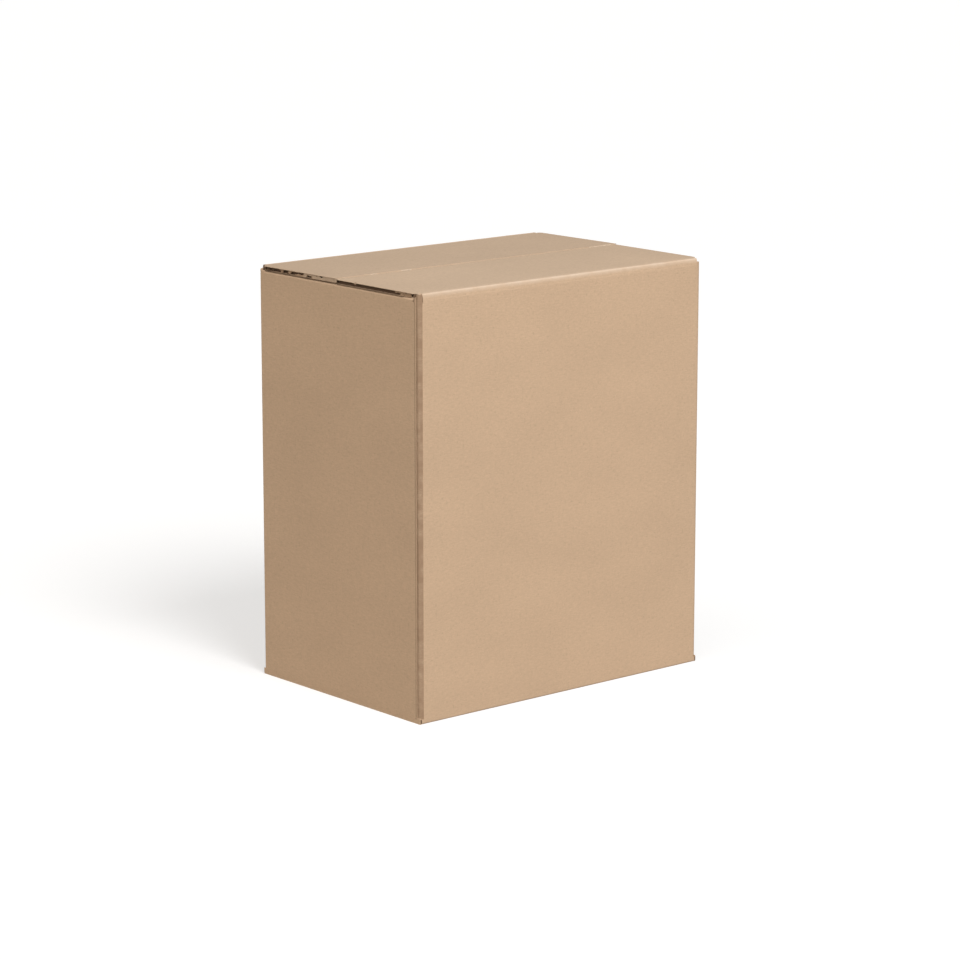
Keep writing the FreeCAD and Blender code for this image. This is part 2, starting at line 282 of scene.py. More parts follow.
def turn_faces(piece: Piece, out: Vector) -> None:
    """Flip a piece's faces if most of their area looks away from where they should look."""
    if sum(face.area * face.normal.dot(out) for face in piece.data.polygons) < 0:
        piece.data.flip_normals()


def leave_edit_mode(piece: Piece, out: Vector | None) -> None:
    """Make the faces agree with each other and leave edit mode.

    Args:
        piece: the object in edit mode.
        out: the direction that its outside looks in, or None for a closed shape.
    """
    bpy.ops.mesh.select_all(action="SELECT")
    bpy.ops.mesh.normals_make_consistent(inside=False)
    bpy.ops.object.mode_set(mode="OBJECT")
    if out is not None:
        turn_faces(piece, out)


def finish_piece(piece: Piece, look: Look, angle: float) -> None:
    """Smooth a piece and give it its material.

    Args:
        piece: the object, in object mode.
        look: its material.
        angle: edges sharper than this many degrees stay sharp.
    """
    deselect()
    piece.select_set(True)
    bpy.context.view_layer.objects.active = piece
    bpy.ops.object.shade_smooth_by_angle(angle=math.radians(angle))
    piece.data.materials.clear()
    piece.data.materials.append(look)


# ---- finishes


class NodeSheet:
    """The node tree of a material or the world, with short calls to add nodes and link them."""

    def __init__(self, owner: bpy.types.ID) -> None:
        """Switch the nodes on.

        Args:
            owner: the material or the world.
        """
        owner.use_nodes = True
        self.owner = owner
        self.nodes = owner.node_tree.nodes
        self.links = owner.node_tree.links

    def add(self, kind: str, inputs: dict | None = None, **settings: object) -> bpy.types.Node:
        """Add a node.

        Args:
            kind: the node's type, without its ShaderNode prefix.
            inputs: a value, a colour or an output socket for each named or numbered input.
            **settings: the node's own settings.

        Returns:
            The new node.
        """
        node = self.nodes.new(f"ShaderNode{kind}")
        for key, value in settings.items():
            setattr(node, key, value)
        for key, value in (inputs or {}).items():
            socket = node.inputs[key]
            if isinstance(value, Socket):
                self.links.new(value, socket)
            else:
                socket.default_value = (*value, 1.0) if socket.type == "RGBA" else value
        return node

    def place(self) -> Socket:
        """Give the socket of a point's place on the piece."""
        return self.add("TexCoord").outputs["Object"]

    def axes(self) -> tuple[Socket, ...]:
        """Give the sockets of that place's X, Y and Z."""
        return tuple(self.add("SeparateXYZ", {0: self.place()}).outputs)

    def noise(self, scale: Point, detail: float, offset: Point = (0.0, 0.0, 0.0)) -> Socket:
        """Add a noise pattern in the piece's own place.

        Args:
            scale: how many of its lumps there are to a metre, along X, Y and Z.
            detail: how many finer layers it has.
            offset: where the pattern starts.

        Returns:
            The socket of its value, from 0 to 1.
        """
        mapping = self.add("Mapping", {"Vector": self.place(), "Scale": scale, "Location": offset})
        texture = self.add("TexNoise", {"Vector": mapping.outputs[0], "Scale": 1.0, "Detail": detail})
        return texture.outputs["Fac"]

    def level(self, value: Socket, low: float, high: float, start: float, end: float) -> Socket:
        """Map a value from low and high to start and end, clamped, and give the result."""
        inputs = {"Value": value, "From Min": low, "From Max": high, "To Min": start, "To Max": end}
        return self.add("MapRange", inputs).outputs["Result"]

    def compute(self, operation: str, first: object, second: object = 0.0) -> Socket:
        """Add a Math node on one or two values or sockets, and give its result."""
        return self.add("Math", {0: first, 1: second}, operation=operation).outputs[0]

    def pick(self, share: object, first: object, second: object) -> Socket:
        """Mix two values or sockets by a share, from 0 to 1, and give the result."""
        return self.add("Mix", {0: share, 2: first, 3: second}).outputs[0]

    def mix(self, share: object, first: object, second: object) -> Socket:
        """Mix two colours or sockets by a share, from 0 to 1, and give the result."""
        return self.add("Mix", {0: share, 6: first, 7: second}, data_type="RGBA").outputs[2]

    def surface(
        self, colour: Socket, height: Socket, depth: float, roughness: float, gloss: float
    ) -> Look:
        """Link the colour and the relief to the surface's shader, and set its levels.

        Args:
            colour: the socket of the surface's colour.
            height: the socket of its relief, from 0 to 1.
            depth: how deep the relief is, in metres.
            roughness: the shader's roughness.
            gloss: its specular level.

        Returns:
            The finished material.
        """
        shader = self.nodes["Principled BSDF"]
        bump = self.add("Bump", {"Height": height, "Distance": depth, "Strength": 1.0})
        self.links.new(colour, shader.inputs["Base Color"])
        self.links.new(bump.outputs[0], shader.inputs["Normal"])
        shader.inputs["Roughness"].default_value = roughness
        shader.inputs["Specular IOR Level"].default_value = gloss
        return self.owner


@dataclass(frozen=True)
class BoardSection:
    """How deep a point lies in the board, which tells its liners from its fluted middle; the middle is
    painted dark, partly for the medium's own darker tone and partly as painted shade in the flute
    hollows.
    """

    sizes: Measures
    liner: float = 0.45 * MM
    # the fluted middle's colour: the medium's darker tone together with painted shade of the hollows
    tone: Colour = (0.16, 0.10, 0.062)

    def between(
        self, sheet: NodeSheet, first: tuple[object, float], second: tuple[object, float], radius: float
    ) -> Socket:
        """Give the depth under two outer faces that meet in a rounded fold.

        Args:
            sheet: the material's nodes.
            first: the socket of a distance from the middle, and that of the first face.
            second: the same for the second face.
            radius: the fold's outer radius.

        Returns:
            The socket of the depth, in metres.
        """
        over = [sheet.compute("SUBTRACT", value, face - radius) for value, face in (first, second)]
        beyond = [sheet.compute("POWER", sheet.compute("MAXIMUM", value, 0.0), 2.0) for value in over]
        outside = sheet.compute("SQRT", sheet.compute("ADD", *beyond))
        inside = sheet.compute("MINIMUM", sheet.compute("MAXIMUM", *over), 0.0)
        return sheet.compute("SUBTRACT", radius, sheet.compute("ADD", outside, inside))

    def middle(self, sheet: NodeSheet, depth: Socket) -> Socket:
        """Mark the depths between two liners, in every sheet that lies on another.

        Args:
            sheet: the material's nodes.
            depth: the socket of the depth.

        Returns:
            The socket of the mark, 0 or 1.
        """
        board = self.sizes.board
        deep = sheet.compute("FLOORED_MODULO", depth, board)
        half = sheet.compute("ABSOLUTE", sheet.compute("SUBTRACT", deep, board / 2))
        return sheet.compute("LESS_THAN", half, board / 2 - self.liner)

    def mark(self, sheet: NodeSheet) -> Socket:
        """Mark the fluted middle in an outer top flap.

        Args:
            sheet: the material's nodes.

        Returns:
            The socket of the mark, 0 or 1.
        """
        _, y, z = sheet.axes()
        side = sheet.compute("ABSOLUTE", y)
        along = sheet.compute("SUBTRACT", self.sizes.width / 2, side)
        rear = sheet.compute("GREATER_THAN", y, 0.0)
        lift = sheet.compute("MULTIPLY", along, math.tan(self.sizes.spring))
        lift = sheet.compute("MULTIPLY", lift, rear)
        level = sheet.compute("SUBTRACT", z, lift)
        sides = (side, self.sizes.width / 2), (level, self.sizes.height)
        return self.middle(sheet, self.between(sheet, *sides, self.sizes.fold))


@dataclass(frozen=True)
class CartonSection(BoardSection):
    """The same depth in the carton itself, with its inner flaps, its corners and its base."""

    upright: float = 3.0 * MM
    inner_fold: float = 1.2 * MM
    clearance: float = 0.1 * MM
    slot: float = 5.3 * MM
    slot_drop: float = 0.6 * MM

    def mark(self, sheet: NodeSheet) -> Socket:
        """Mark the fluted middle in the carton.

        Args:
            sheet: the material's nodes.

        Returns:
            The socket of the mark, 0 or 1.
        """
        sizes = self.sizes
        x, y, height = sheet.axes()
        across = sheet.compute("ABSOLUTE", x), sizes.length / 2
        side = sheet.compute("ABSOLUTE", y), sizes.width / 2
        inner_top = sizes.height - sizes.board - self.clearance
        depth = sheet.compute("MINIMUM", self.between(sheet, across, side, self.upright), height)
        beyond_slot = sheet.compute("GREATER_THAN", side[0], sizes.width / 2 - self.slot)
        end = self.between(sheet, across, (height, inner_top), self.inner_fold)
        above_end = sheet.compute("GREATER_THAN", height, inner_top - sizes.board - self.clearance)
        above_end = sheet.compute("SUBTRACT", above_end, beyond_slot)
        depth = sheet.pick(above_end, depth, end)
        long = self.between(sheet, side, (height, sizes.height), sizes.fold)
        above_long = sheet.compute("GREATER_THAN", height, sizes.height - sizes.fold - self.slot_drop)
        above_long = sheet.compute("MULTIPLY", above_long, beyond_slot)
        return self.middle(sheet, sheet.pick(above_long, depth, long))


@dataclass(frozen=True)
class FoldEnds(BoardSection):
    """The raw ends of the liner over a fold, apart from the one beside the glued corner, painted in the
    dark tone of the fluted middle, which is partly painted shade.
    """

    slack: float = 0.03 * MM

    def mark(self, sheet: NodeSheet) -> Socket:
        """Mark the end faces.

        Args:
            sheet: the material's nodes.

        Returns:
            The socket of the mark, 0 or 1.
        """
        x, y, _ = sheet.axes()
        across = sheet.compute("ABSOLUTE", x)
        outer = sheet.compute("GREATER_THAN", across, self.sizes.fold_reach - self.slack)
        inner = sheet.compute("LESS_THAN", across, self.sizes.fold_reach + self.slack)
        right = sheet.compute("GREATER_THAN", x, 0.0)
        rear = sheet.compute("GREATER_THAN", y, 0.0)
        face = sheet.compute("MULTIPLY", outer, inner)
        return sheet.compute("MULTIPLY", face, sheet.compute("MAXIMUM", right, rear))


@dataclass(frozen=True)
class PaintedCreaseHighlight(BoardSection):
    """A painted highlight: paler colour along the crease, which adds to the light that the crease
    catches.
    """

    # the painted highlight's pale colour
    tone: Colour = (0.670, 0.522, 0.395)
    drop: tuple[float, float] = (2.9 * MM, 0.3 * MM)
    setback: tuple[float, float] = (4.6 * MM, 1.2 * MM)
    patches: Point = (160.0, 40.0, 40.0)

    def mark(self, sheet: NodeSheet) -> Socket:
        """Mark the painted highlight along the crease, strongest at its top.

        Args:
            sheet: the material's nodes.

        Returns:
            The socket of the mark, from 0 to 1.
        """
        high, half = self.sizes.height, self.sizes.width / 2
        _, y, z = sheet.axes()
        side = sheet.compute("ABSOLUTE", y)
        below = sheet.level(z, high - self.drop[0], high - self.drop[1], 0.0, 1.0)
        over = sheet.level(side, half - self.setback[0], half - self.setback[1], 0.0, 1.0)
        painted_patches = sheet.level(sheet.noise(self.patches, 3.0, (1.9, 6.3, 2.7)), 0.35, 0.6, 0.55, 1.0)
        return sheet.compute("MULTIPLY", sheet.compute("MULTIPLY", below, over), painted_patches)


@dataclass(frozen=True)
class KraftLiner:
    """Unbleached kraft paper: soft cloudy tone, fine speckle, dark flecks and short fibres."""

    name: str
    tone: Colour = (0.597, 0.423, 0.283)
    grain: Grain = Grain.PANEL
    roughness: float = 0.82
    gloss: float = 0.25
    clouds: Point = (16.0, 16.0, 30.0)
    specks: Point = (950.0, 950.0, 950.0)
    dots: Point = (620.0, 620.0, 620.0)
    cloud: float = 0.030
    speckle: float = 0.045
    flecks: float = 0.22
    dark: float = 0.62
    pale: float = 1.16
    relief: float = 0.05 * MM
    marks: tuple[BoardSection, ...] = ()

    def build(self) -> Look:
        """Make the material.

        Returns:
            The material.
        """
        sheet = NodeSheet(bpy.data.materials.new(self.name))
        clouds = sheet.noise(self.clouds, 3.0)
        specks = sheet.noise(self.specks, 2.0)
        fibres = sheet.noise(self.grain.value, 2.0, (3.1, 1.7, 5.3))
        dots = sheet.noise(self.dots, 0.0, (7.7, 2.9, 1.3))
        clouded = sheet.level(clouds, 0.3, 0.7, 1.0 - self.cloud, 1.0 + self.cloud)
        specked = sheet.level(specks, 0.25, 0.75, 1.0 - self.speckle, 1.0 + self.speckle)
        shade = sheet.compute("MULTIPLY", clouded, specked)
        streaked = sheet.level(fibres, 0.3, 0.7, 1.0 - self.speckle, 1.0 + self.speckle)
        shade = sheet.compute("MULTIPLY", shade, streaked)
        scaled = sheet.add("VectorMath", {0: self.tone, "Scale": shade}, operation="SCALE")
        dark = tuple(self.dark * part for part in self.tone)
        pale = tuple(min(1.0, self.pale * part) for part in self.tone)
        colour = sheet.mix(sheet.level(dots, 0.70, 0.78, 0.0, self.flecks), scaled.outputs[0], dark)
        colour = sheet.mix(sheet.level(dots, 0.30, 0.22, 0.0, self.flecks), colour, pale)
        for mark in self.marks:
            colour = sheet.mix(mark.mark(sheet), colour, mark.tone)
        height = sheet.compute("ADD", sheet.compute("MULTIPLY", specks, 0.5), fibres)
        return sheet.surface(colour, height, self.relief, self.roughness, self.gloss)


@dataclass(frozen=True)
class TornBoard:
    """Raw or crushed board: darker, coarse and fibrous; where it lies in a shaded gap, its darker tones
    are painted shade too.
    """

    name: str
    tone: Colour
    pale: Colour
    roughness: float = 0.92
    gloss: float = 0.15
    lumps: Point = (170.0, 170.0, 170.0)
    fibres: Point = (500.0, 500.0, 2200.0)
    relief: float = 0.12 * MM

    def build(self) -> Look:
        """Make the material.

        Returns:
            The material.
        """
        sheet = NodeSheet(bpy.data.materials.new(self.name))
        lumps = sheet.noise(self.lumps, 3.0)
        fibres = sheet.noise(self.fibres, 3.0, (2.3, 4.1, 0.7))
        raised = sheet.level(lumps, 0.35, 0.7, 0.0, 1.0)
        loose = sheet.level(fibres, 0.35, 0.65, 0.3, 1.0)
        colour = sheet.mix(sheet.compute("MULTIPLY", raised, loose), self.tone, self.pale)
        height = sheet.compute("ADD", lumps, fibres)
        return sheet.surface(colour, height, self.relief, self.roughness, self.gloss)


# ---- pieces


@dataclass(frozen=True)
class FlapTrim:
    """What lies along an edge of an outer top flap."""

    sizes: Measures
    side: Side
    look: Look

    def hang(self, piece: Piece) -> Piece:
        """Dress a piece that was modelled on a flat flap, and let it turn with its own flap.

        Args:
            piece: the piece.

        Returns:
            The finished piece.
        """
        finish_piece(piece, self.look, angle=50.0)
        if self.side is Side.REAR:
            corner = Vector((0.0, self.sizes.width / 2, self.sizes.height))
            turn = Matrix.Rotation(-self.sizes.spring, 4, "X")
            piece.data.transform(Matrix.Translation(corner) @ turn @ Matrix.Translation(-corner))
        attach(piece, f"{self.side}_flap")
        return piece

    def along(self, distance: float) -> float:
        """Give the Y of a distance from the fold."""
        return self.side.value * (self.sizes.width / 2 - distance)


@dataclass(frozen=True)
class FoldLiner(FlapTrim):
    """The outer liner over the fold of an outer top flap: a soft bend up to a sharp crease."""

    bends: tuple[tuple[float, float], ...] = ((22.0 * MM, 9.0), (1.5 * MM, 52.0))
    steps: int = 6
    tuck: float = 0.12 * MM
    tail: float = 1.6 * MM
    flat: float = 0.04 * MM
    paper: float = 1.1 * MM
    waver: float = 0.14 * MM
    waves: float = 9.0 * MM
    pace: float = 1.2 * MM

    def build(self) -> Piece:
        """Model the strip over the whole fold.

        Returns:
            The finished piece.
        """
        sign = self.side.value
        face = sign * self.sizes.width / 2
        foot = self.sizes.height - self.sizes.fold
        middle, length = (0.0, face, foot - self.tail / 2), 2 * self.sizes.fold_reach
        name = f"{self.side}_fold_liner"
        piece = start_plane(name, (length, self.tail), middle, Stand.LONG.value)
        choose(piece, Layers.VERTEX, lambda place: place.z < middle[2])
        bpy.ops.transform.translate(value=(0.0, -sign * self.tuck, 0.0))
        choose(piece, Layers.EDGE, lambda place: place.z > middle[2])
        edge, lean = Vector((0.0, face, foot)), 0.0
        for radius, turn in self.bends:
            centre = edge + self.inwards(lean) * radius
            sweep = math.radians(turn)
            bpy.ops.mesh.spin(steps=self.steps, angle=-sign * sweep, center=centre, axis=X_AXIS)
            lean += sweep
            edge = centre - self.inwards(lean) * radius
        end = Vector((0.0, face - sign * self.sizes.fold, self.sizes.height))
        extrude_by(end - edge - Z_AXIS * self.flat)
        extrude_by(Vector((0.0, -sign * self.tuck, -self.tuck)))
        cut_edges_along(piece, X_AXIS, round(length / self.pace))
        leave_edit_mode(piece, Vector((0.0, sign, 1.0)))
        ripple(piece, name, self.waves, self.waver, mid_level=1.0)
        apply_modifier(piece, "SOLIDIFY", thickness=self.paper, offset=-1.0)
        finish_piece(piece, self.look, angle=20.0)
        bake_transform(piece)
        return piece

    def inwards(self, lean: float) -> Vector:
        """Give the direction into the board where the liner leans inward by an angle."""
        return Vector((0.0, -self.side.value * math.cos(lean), -math.sin(lean)))


@dataclass(frozen=True)
class FoldCore(FlapTrim):
    """A flat sheet across a fold's mitre, hidden in the board."""

    gap: float = 0.13 * MM
    near: float = 1.95 * MM
    far: float = 4.45 * MM
    leaves: int = 28

    def build(self) -> Piece:
        """Model the sheet, whose two layers lie in one plane.

        Returns:
            The finished piece.
        """
        sign = self.side.value
        corner = Vector((0.0, sign * self.sizes.width / 2, self.sizes.height))
        inward = Vector((0.0, -sign, -1.0)).normalized()
        over = Vector((0.0, -sign, 1.0)).normalized()
        reach = self.far - self.near
        middle = corner + inward * (self.near + self.far) / 2
        span = 2 * self.sizes.fold_end
        turn = (-sign * QUARTER_TURN / 2, 0.0, 0.0)
        name = f"{self.side}_fold_core"
        piece = start_plane(name, (span, reach), tuple(middle - over * self.gap / 2), turn)
        choose(piece, Layers.FACE, lambda place: True)
        extrude_by(over * self.gap)
        cut_edges_along(piece, over, self.leaves)
        leave_edit_mode(piece, None)
        finish_piece(piece, self.look, angle=60.0)
        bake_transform(piece)
        return piece


@dataclass(frozen=True)
class SplayedLiner(FlapTrim):
    """A liner's ragged edge, which stands out over the cut side of an outer top flap."""

    end: End
    overhang: float = 0.93 * MM
    overlap: float = 0.3 * MM
    level: float = 0.02 * MM
    droop: float = 0.16 * MM
    paper: float = 0.34 * MM
    ragged: float = 0.08 * MM
    near: float = 0.01 * MM
    seed: int = 3
    pace: float = 0.6 * MM

    def build(self, start: float, finish: float) -> Piece:
        """Model the overhanging edge over a stretch of the flap's side.

        Args:
            start: how far from the fold it starts.
            finish: how far from the fold it ends.

        Returns:
            The finished piece.
        """
        out = self.end.value
        width, run = self.overhang + self.overlap, finish - start
        inner = out * (self.sizes.flap_side - self.overlap)
        height = self.sizes.height - self.level
        middle = (inner + out * width / 2, self.along((start + finish) / 2), height)
        layer = "inner" if self.level > self.sizes.board / 2 else "outer"
        name = f"{self.side}_{self.end}_{layer}_edge_{round(start / MM)}"
        piece = start_plane(name, (width, run), middle, Stand.FLAT.value)
        cut_edges_along(piece, X_AXIS, 2)
        cut_edges_along(piece, Y_AXIS, round(run / self.pace))
        choose(piece, Layers.VERTEX, lambda place: place.x * out > (middle[0] + out * width / 4) * out)
        bpy.ops.transform.translate(value=-self.droop * Z_AXIS)
        edge = middle[0] + out * width / 2
        roughen(piece, lambda place: abs(place.x - edge) < self.near, self.ragged, self.seed + out)
        bpy.ops.object.mode_set(mode="OBJECT")
        turn_faces(piece, Z_AXIS)
        apply_modifier(piece, "SOLIDIFY", thickness=self.paper, offset=-1.0)
        return self.hang(piece)


@dataclass(frozen=True)
class CrushedEdge(FlapTrim):
    """The fluted sheet squeezed shut along the cut side of an outer top flap."""

    end: End
    holes: tuple[float, float]
    paper: float = 0.15 * MM
    liner: float = 0.36 * MM
    foot: float = 0.08 * MM
    proud: float = 0.42 * MM
    depth: float = 0.5 * MM
    coarse: float = 2.6 * MM
    fine: float = 0.9 * MM
    grid: float = 0.28 * MM
    jitter: float = 0.07 * MM
    seed: int = 7
    hole_lumps: Point = (4.3, 260.0, 520.0)
    hole_start: Point = (5.3, 1.7, 8.1)

    def build(self, start: float, finish: float) -> Piece:
        """Model the crumpled edge over a stretch of the flap's side.

        Args:
            start: how far from the fold it starts.
            finish: how far from the fold it ends.

        Returns:
            The finished piece.
        """
        low = self.sizes.height - self.sizes.board + self.foot
        high = self.sizes.height - self.liner
        out, run = self.end.value, finish - start
        across = out * (self.sizes.flap_side + self.proud)
        middle = (across, self.along((start + finish) / 2), (low + high) / 2)
        name = f"{self.side}_{self.end}_crushed_edge_{round(start / MM)}"
        piece = start_plane(name, (run, high - low), middle, Stand.END.value)
        cut_edges_along(piece, Y_AXIS, round(run / self.grid))
        cut_edges_along(piece, Z_AXIS, round((high - low) / self.grid))
        choose(piece, Layers.FACE, lambda place: self.is_hole(place, start, run))
        bpy.ops.mesh.delete(type="FACE")
        roughen(piece, lambda place: low < place.z < high, self.jitter, self.seed)
        bpy.ops.object.mode_set(mode="OBJECT")
        apply_modifier(piece, "SMOOTH", factor=0.5, iterations=6)
        inward = {"direction": "X", "mid_level": 0.0}
        ripple(piece, f"{name}_coarse", self.coarse, -out * self.depth, **inward)
        ripple(piece, f"{name}_fine", self.fine, -out * self.depth / 2, **inward)
        apply_modifier(piece, "SOLIDIFY", thickness=self.paper, offset=0.0)
        return self.hang(piece)

    def is_hole(self, place: Vector, start: float, run: float) -> bool:
        """Tell if the crushed sheet has a gap at a place.

        Args:
            place: the place.
            start: how far from the fold the sheet starts.
            run: its length.

        Returns:
            Whether it has a gap there.
        """
        share = (self.sizes.width / 2 - abs(place.y) - start) / run
        limit = self.holes[0] + (self.holes[1] - self.holes[0]) * share
        lump = Vector((self.end.value, place.y, place.z)) * Vector(self.hole_lumps)
        lump += Vector(self.hole_start)
        return noise.noise(lump) + 0.5 * noise.noise(lump * 2.3) > limit


@dataclass(frozen=True)
class SeamLip(FlapTrim):
    """The liner pressed down over the cut edge where the outer top flaps meet."""

    reach: float = 0.85 * MM
    top: float = 0.03 * MM
    paper: float = 0.09 * MM
    pressed: float = 0.1 * MM
    ragged: float = 0.12 * MM
    seed: int = 5
    pace: float = 1.0 * MM

    def build(self, name: str, left: float, right: float) -> Piece:
        """Model the pressed edge from one X to the other.

        Args:
            name: the piece's name.
            left: where it starts.
            right: where it ends.

        Returns:
            The finished piece.
        """
        high = self.sizes.height - self.top
        edge = self.side.value * self.sizes.seam / 2
        middle = ((left + right) / 2, edge, high - self.reach / 2)
        piece = start_plane(name, (right - left, self.reach), middle, Stand.LONG.value)
        cut_edges_along(piece, Z_AXIS, 2)
        cut_edges_along(piece, X_AXIS, round((right - left) / self.pace))
        roughen(piece, lambda place: place.z < high - self.pressed, self.ragged, self.seed)
        bpy.ops.object.mode_set(mode="OBJECT")
        turn_faces(piece, Vector((0.0, -self.side.value, 0.0)))
        apply_modifier(piece, "SOLIDIFY", thickness=self.paper, offset=1.0)
        return self.hang(piece)


@dataclass(frozen=True)
class CornerEar:
    """The crushed top of an upright fold, between a long panel's fold and an inner flap's."""

    sizes: Measures
    side: Side
    end: End
    look: Look
    radius: float = 3.0 * MM
    inset: float = 0.0
    long_run: float = 0.5 * MM
    end_run: float = 2.3 * MM
    foot: float = 5.4 * MM
    peak: float = 2.0 * MM
    drop: float = 1.1 * MM
    board: float = 1.5 * MM
    rounding: float = 0.25 * MM
    sharp: float = 50.0
    waver: float = 0.06 * MM
    waves: float = 3.0 * MM

    def build(self) -> Piece:
        """Model the bent wall, cut its top on a slant and crush it a little.

        Returns:
            The finished piece.
        """
        out, over = self.end.value, self.side.value
        face = Vector((out * self.sizes.length / 2, over * (self.sizes.width / 2 - self.inset), 0.0))
        low, high = self.sizes.height - self.foot, self.sizes.height
        centre = face - Vector((out, over, 0.0)) * self.radius
        middle = (face.x, centre.y - over * self.end_run / 2, (low + high) / 2)
        name = f"{self.side}_{self.end}_corner_ear"
        piece = start_plane(name, (self.end_run, high - low), middle, Stand.END.value)
        choose(piece, Layers.EDGE, lambda place: place.y * over > middle[1] * over)
        bpy.ops.mesh.spin(steps=8, angle=-out * over * QUARTER_TURN, center=centre, axis=Z_AXIS)
        extrude_by(Vector((-out * self.long_run, 0.0, 0.0)))
        bpy.ops.mesh.select_all(action="SELECT")
        slope = Vector((out, -over, 0.0)).normalized() * self.drop
        rise = Z_AXIS * ((self.radius + self.end_run) * math.sqrt(2.0))
        start = Vector((centre.x, face.y, self.sizes.height - self.peak))
        slant = (slope + rise).normalized()
        bpy.ops.mesh.bisect(plane_co=start, plane_no=slant, clear_outer=True, threshold=0.001 * MM)
        bpy.ops.mesh.select_all(action="SELECT")
        bpy.ops.mesh.subdivide(number_cuts=2)
        leave_edit_mode(piece, Vector((out, over, 0.0)))
        apply_modifier(piece, "SOLIDIFY", thickness=self.board, offset=-1.0)
        limit = math.radians(self.sharp)
        apply_modifier(piece, "BEVEL", width=self.rounding, segments=3, angle_limit=limit)
        ripple(piece, name, self.waves, self.waver, mid_level=1.0)
        finish_piece(piece, self.look, angle=self.sharp)
        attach(piece, "box")
        return piece


@dataclass(frozen=True)
class GluedCorner:
    """The crushed raw edge of the front panel, where it is glued over the tab; its dark tone is partly
    the raw board's own and partly painted shade of the groove beside the end panel.
    """

    sizes: Measures
    look: Look
    setback: float = 0.65 * MM
    crush: float = 1.6 * MM
    run: float = 2.6 * MM
    radius: float = 8.0 * MM
    proud: float = 0.16 * MM
    sunk: float = 0.02 * MM
    depth: float = 2.95 * MM
    low: float = 2.6 * MM
    high: float = 0.6 * MM
    paper: float = 0.3 * MM
    rough: tuple[float, float] = (4.0 * MM, 0.22 * MM)
    fine: tuple[float, float] = (1.0 * MM, 0.10 * MM)
    steps: int = 8
    pace: float = 0.8 * MM

    def build(self) -> Piece:
        """Bend a fibrous strip along the crushed curve and roughen it.

        Returns:
            The finished piece.
        """
        corner = Vector((-self.sizes.length / 2, -self.sizes.width / 2, 0.0))
        chord = Vector((self.run, -self.crush, 0.0))
        inward = Vector((self.crush, self.run, 0.0)).normalized()
        half = chord.length / 2
        cut = corner + Vector((self.setback, self.crush, 0.0))
        centre = cut + chord / 2 + inward * math.sqrt(self.radius**2 - half**2)
        radius = self.radius + self.proud
        opening = math.asin((centre.x - cut.x) / self.radius)
        closing = math.acos((centre.y - corner.y - self.sunk) / radius)
        first = centre - radius * Vector((math.sin(opening), math.cos(opening), 0.0))
        tall = self.sizes.height - self.high - self.low
        width = self.depth - self.crush
        middle = (first.x, first.y + width / 2, self.low + tall / 2)
        piece = start_plane("glued_corner_edge", (width, tall), middle, Stand.END.value)
        choose(piece, Layers.EDGE, lambda place: place.y < first.y + width / 2)
        sweep = opening - closing
        bpy.ops.mesh.spin(steps=self.steps, angle=-sweep, center=centre, axis=Z_AXIS)
        cut_edges_along(piece, Z_AXIS, round(tall / self.pace))
        leave_edit_mode(piece, Vector((-1.0, -1.0, 0.0)))
        ripple(piece, "corner_rough", *self.rough, layers=3, mid_level=0.6)
        ripple(piece, "corner_fine", *self.fine, mid_level=0.6)
        apply_modifier(piece, "SOLIDIFY", thickness=self.paper, offset=-1.0)
        finish_piece(piece, self.look, angle=60.0)
        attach(piece, "box")
        return piece


@dataclass(frozen=True)
class BaseEdge:
    """The cut ends of the outer base flaps, pressed flush with an end panel."""

    sizes: Measures
    end: End
    look: Look
    low: float = 0.06 * MM
    high: float = 3.7 * MM
    sunk: float = 0.03 * MM
    radius: float = 0.8 * MM
    near: float = 0.01 * MM
    paper: float = 0.25 * MM
    waver: float = 0.05 * MM
    waves: float = 12.0 * MM
    pace: float = 2.5 * MM

    def build(self) -> Piece:
        """Model the pressed strip and bend its ends round the corners.

        Returns:
            The finished piece.
        """
        out, tall = self.end.value, self.high - self.low
        half = self.sizes.width / 2 - self.sunk - self.radius
        across = out * (self.sizes.length / 2 - self.sunk)
        middle = (across, 0.0, self.low + tall / 2)
        name = f"{self.end}_base_edge"
        piece = start_plane(name, (2 * half, tall), middle, Stand.END.value)
        for over in (-1, 1):
            choose(piece, Layers.EDGE, lambda place: place.y * over > half - self.near)
            centre = (across - out * self.radius, over * half, 0.0)
            bpy.ops.mesh.spin(steps=4, angle=-out * over * QUARTER_TURN, center=centre, axis=Z_AXIS)
        cut_edges_along(piece, Y_AXIS, round(2 * half / self.pace))
        leave_edit_mode(piece, Vector((out, 0.0, 0.0)))
        ripple(piece, name, self.waves, self.waver, mid_level=1.0)
        apply_modifier(piece, "SOLIDIFY", thickness=self.paper, offset=-1.0)
        finish_piece(piece, self.look, angle=30.0)
        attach(piece, "box")
        return piece


# ---- studio


